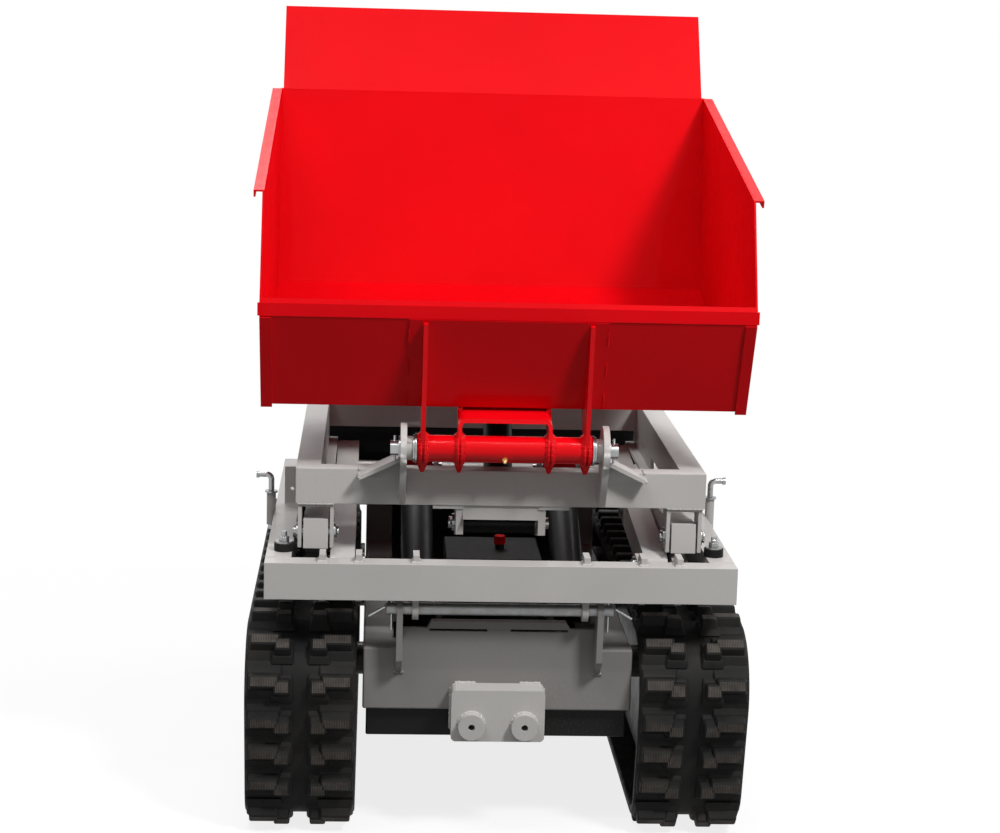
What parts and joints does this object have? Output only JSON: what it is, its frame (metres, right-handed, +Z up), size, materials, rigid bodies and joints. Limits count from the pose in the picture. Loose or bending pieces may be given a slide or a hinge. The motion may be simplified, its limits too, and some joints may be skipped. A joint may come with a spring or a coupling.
{
  "type": "tracked power carrier",
  "caption": "Rubber-tracked power carrier with a forward-tipping steel skip on a scissor lift, engine deck, handlebar and hydraulic levers behind.",
  "frame": {"origin": "on the ground under the middle of the machine's box", "axes": "+Z up, the pouring lip faces -Y, +X to the right seen from the front"},
  "size_m": [0.822, 1.577, 1.3317],
  "materials": {
    "red_paint": "gloss",
    "grey_paint": "satin",
    "black_paint": "satin",
    "engine": "satin",
    "zinc": "zinc plated",
    "rubber": "matte"
  },
  "bodies": {
    "chassis": {"chassis_frame": "grey_paint", "front_hitch": "grey_paint", "belly_guard": "black_paint", "track_frame_left": "grey_paint", "track_frame_right": "grey_paint", "track_left": "rubber", "track_right": "rubber", "axle_bolts": "zinc", "drive_motors": "engine", "base_pivot_shaft": "zinc", "shaft_clips": "zinc", "engine_block": "engine", "recoil_cover": "engine", "fuel_tank": "engine", "muffler": "engine", "air_filter": "engine", "hydraulic_tank": "black_paint", "tank_cap": "red_paint", "hydraulic_pump": "engine", "control_valve": "engine", "engine_deck": "black_paint", "handlebar": "black_paint", "grips": "rubber", "console": "grey_paint"},
    "lift_base": {"base_frame": "grey_paint", "base_pins": "zinc", "rubber_buffers": "rubber", "buffer_bolts": "zinc"},
    "inner_scissor": {"inner_arms": "grey_paint", "inner_arm_pins": "zinc"},
    "outer_scissor": {"outer_arms": "grey_paint"},
    "upper_platform": {"upper_frame": "grey_paint", "upper_frame_pins": "zinc", "skip_pins": "zinc"},
    "tipping_skip": {"skip": "red_paint", "skip_hinge_frame": "red_paint", "tip_eye_pin": "zinc"},
    "lift_cylinder": {"lift_barrels": "black_paint"},
    "lift_piston": {"lift_rods": "zinc"},
    "tip_cylinder": {"tip_barrel": "black_paint"},
    "tip_piston": {"tip_rod": "zinc"},
    "lower_rollers_body": {"lower_rollers": "black_paint"},
    "upper_rollers_body": {"upper_rollers": "black_paint"},
    "lock_pin_left_body": {"lock_pin_left": "zinc"},
    "lock_pin_right_body": {"lock_pin_right": "zinc"},
    "sprocket_left_body": {"sprocket_left": "black_paint"},
    "sprocket_right_body": {"sprocket_right": "black_paint"},
    "idler_left_body": {"idler_left": "black_paint"},
    "idler_right_body": {"idler_right": "black_paint"},
    "roller_left_1_body": {"roller_left_1": "black_paint"},
    "roller_left_2_body": {"roller_left_2": "black_paint"},
    "roller_left_3_body": {"roller_left_3": "black_paint"},
    "roller_right_1_body": {"roller_right_1": "black_paint"},
    "roller_right_2_body": {"roller_right_2": "black_paint"},
    "roller_right_3_body": {"roller_right_3": "black_paint"},
    "travel_lever_left_body": {"travel_lever_left": "black_paint"},
    "travel_lever_right_body": {"travel_lever_right": "black_paint"},
    "lift_lever_body": {"lift_lever": "black_paint"},
    "tip_lever_body": {"tip_lever": "black_paint"},
    "throttle_lever_body": {"throttle_lever": "black_paint"}
  },
  "joints": [
    {"name": "service_tilt", "type": "hinge", "parent": "chassis", "child": "lift_base", "pos_m": [0, -0.74155, 0.388], "axis": [1, 0, 0], "range_deg": [0, 30]},
    {"name": "lift", "type": "hinge", "parent": "lift_base", "child": "inner_scissor", "pos_m": [0, -0.66655, 0.445], "axis": [1, 0, 0], "range_deg": [0, 45]},
    {"name": "scissor_cross", "type": "hinge", "parent": "inner_scissor", "child": "outer_scissor", "pos_m": [0, -0.34753, 0.47], "axis": [1, 0, 0], "range_deg": [-90, 0]},
    {"name": "platform_level", "type": "hinge", "parent": "outer_scissor", "child": "upper_platform", "pos_m": [0, -0.66655, 0.495], "axis": [1, 0, 0], "range_deg": [0, 45]},
    {"name": "skip_tip", "type": "hinge", "parent": "upper_platform", "child": "tipping_skip", "pos_m": [0, -0.73555, 0.6505], "axis": [1, 0, 0], "range_deg": [-12, 40]},
    {"name": "tip_cylinder_swing", "type": "hinge", "parent": "upper_platform", "child": "tip_cylinder", "pos_m": [0, -0.62155, 0.503], "axis": [1, 0, 0], "range_deg": [-8.96, 29.86]},
    {"name": "tip_cylinder_stroke", "type": "slide", "parent": "tip_cylinder", "child": "tip_piston", "axis": [0, 0.5919, 0.806], "range_m": [-0.03471, 0.11545]},
    {"name": "lift_cylinder_swing", "type": "hinge", "parent": "lift_base", "child": "lift_cylinder", "pos_m": [0, -0.58155, 0.34], "axis": [1, 0, 0], "range_deg": [0, 43.83]},
    {"name": "lift_cylinder_stroke", "type": "slide", "parent": "lift_cylinder", "child": "lift_piston", "axis": [0, 0.9042, 0.427], "range_m": [0, 0.10562]},
    {"name": "lower_roller_spin", "type": "hinge", "parent": "outer_scissor", "child": "lower_rollers_body", "pos_m": [0, -0.0285, 0.445], "axis": [1, 0, 0], "continuous": true},
    {"name": "upper_roller_spin", "type": "hinge", "parent": "inner_scissor", "child": "upper_rollers_body", "pos_m": [0, -0.0285, 0.495], "axis": [1, 0, 0], "continuous": true},
    {"name": "lock_pin_left_lift", "type": "slide", "parent": "lift_base", "child": "lock_pin_left_body", "axis": [0, 0, 1], "range_m": [0, 0.05]},
    {"name": "lock_pin_right_lift", "type": "slide", "parent": "lift_base", "child": "lock_pin_right_body", "axis": [0, 0, 1], "range_m": [0, 0.05]},
    {"name": "sprocket_left_spin", "type": "hinge", "parent": "chassis", "child": "sprocket_left_body", "pos_m": [0, 0.13045, 0.237], "axis": [1, 0, 0], "continuous": true},
    {"name": "idler_left_spin", "type": "hinge", "parent": "chassis", "child": "idler_left_body", "pos_m": [0, -0.65355, 0.237], "axis": [1, 0, 0], "continuous": true},
    {"name": "roller_left_1_spin", "type": "hinge", "parent": "chassis", "child": "roller_left_1_body", "pos_m": [0, -0.67355, 0.078], "axis": [1, 0, 0], "continuous": true},
    {"name": "roller_left_2_spin", "type": "hinge", "parent": "chassis", "child": "roller_left_2_body", "pos_m": [0, -0.26155, 0.078], "axis": [1, 0, 0], "continuous": true},
    {"name": "roller_left_3_spin", "type": "hinge", "parent": "chassis", "child": "roller_left_3_body", "pos_m": [0, 0.15045, 0.078], "axis": [1, 0, 0], "continuous": true},
    {"name": "sprocket_right_spin", "type": "hinge", "parent": "chassis", "child": "sprocket_right_body", "pos_m": [0, 0.13045, 0.237], "axis": [1, 0, 0], "continuous": true},
    {"name": "idler_right_spin", "type": "hinge", "parent": "chassis", "child": "idler_right_body", "pos_m": [0, -0.65355, 0.237], "axis": [1, 0, 0], "continuous": true},
    {"name": "roller_right_1_spin", "type": "hinge", "parent": "chassis", "child": "roller_right_1_body", "pos_m": [0, -0.67355, 0.078], "axis": [1, 0, 0], "continuous": true},
    {"name": "roller_right_2_spin", "type": "hinge", "parent": "chassis", "child": "roller_right_2_body", "pos_m": [0, -0.26155, 0.078], "axis": [1, 0, 0], "continuous": true},
    {"name": "roller_right_3_spin", "type": "hinge", "parent": "chassis", "child": "roller_right_3_body", "pos_m": [0, 0.15045, 0.078], "axis": [1, 0, 0], "continuous": true},
    {"name": "travel_lever_left_swing", "type": "hinge", "parent": "chassis", "child": "travel_lever_left_body", "pos_m": [0, 0.40845, 0.89], "axis": [1, 0, 0], "range_deg": [-20, 20], "stiffness_Nm_per_rad": 2},
    {"name": "travel_lever_right_swing", "type": "hinge", "parent": "chassis", "child": "travel_lever_right_body", "pos_m": [0, 0.40845, 0.89], "axis": [1, 0, 0], "range_deg": [-20, 20], "stiffness_Nm_per_rad": 2},
    {"name": "lift_lever_swing", "type": "hinge", "parent": "chassis", "child": "lift_lever_body", "pos_m": [0, 0.40845, 0.89], "axis": [1, 0, 0], "range_deg": [-20, 20], "stiffness_Nm_per_rad": 2},
    {"name": "tip_lever_swing", "type": "hinge", "parent": "chassis", "child": "tip_lever_body", "pos_m": [0, 0.40845, 0.89], "axis": [1, 0, 0], "range_deg": [-20, 20], "stiffness_Nm_per_rad": 2},
    {"name": "throttle_lever_swing", "type": "hinge", "parent": "chassis", "child": "throttle_lever_body", "pos_m": [0, 0.40845, 0.89], "axis": [1, 0, 0], "range_deg": [-35, 35]}
  ],
  "couplings": [
    {"joint": "scissor_cross", "follows": "lift", "ratio": -2},
    {"joint": "platform_level", "follows": "lift", "ratio": 1},
    {"joint": "lift_cylinder_swing", "follows": "lift", "ratio": 0.97372},
    {"joint": "lift_cylinder_stroke", "follows": "lift", "m_per_rad": 0.13435},
    {"joint": "tip_cylinder_swing", "follows": "skip_tip", "ratio": 0.74648},
    {"joint": "tip_cylinder_stroke", "follows": "skip_tip", "m_per_rad": 0.16523},
    {"joint": "idler_left_spin", "follows": "sprocket_left_spin", "ratio": 1},
    {"joint": "roller_left_1_spin", "follows": "sprocket_left_spin", "ratio": 2.1905},
    {"joint": "roller_left_2_spin", "follows": "sprocket_left_spin", "ratio": 2.1905},
    {"joint": "roller_left_3_spin", "follows": "sprocket_left_spin", "ratio": 2.1905},
    {"joint": "idler_right_spin", "follows": "sprocket_right_spin", "ratio": 1},
    {"joint": "roller_right_1_spin", "follows": "sprocket_right_spin", "ratio": 2.1905},
    {"joint": "roller_right_2_spin", "follows": "sprocket_right_spin", "ratio": 2.1905},
    {"joint": "roller_right_3_spin", "follows": "sprocket_right_spin", "ratio": 2.1905}
  ]
}
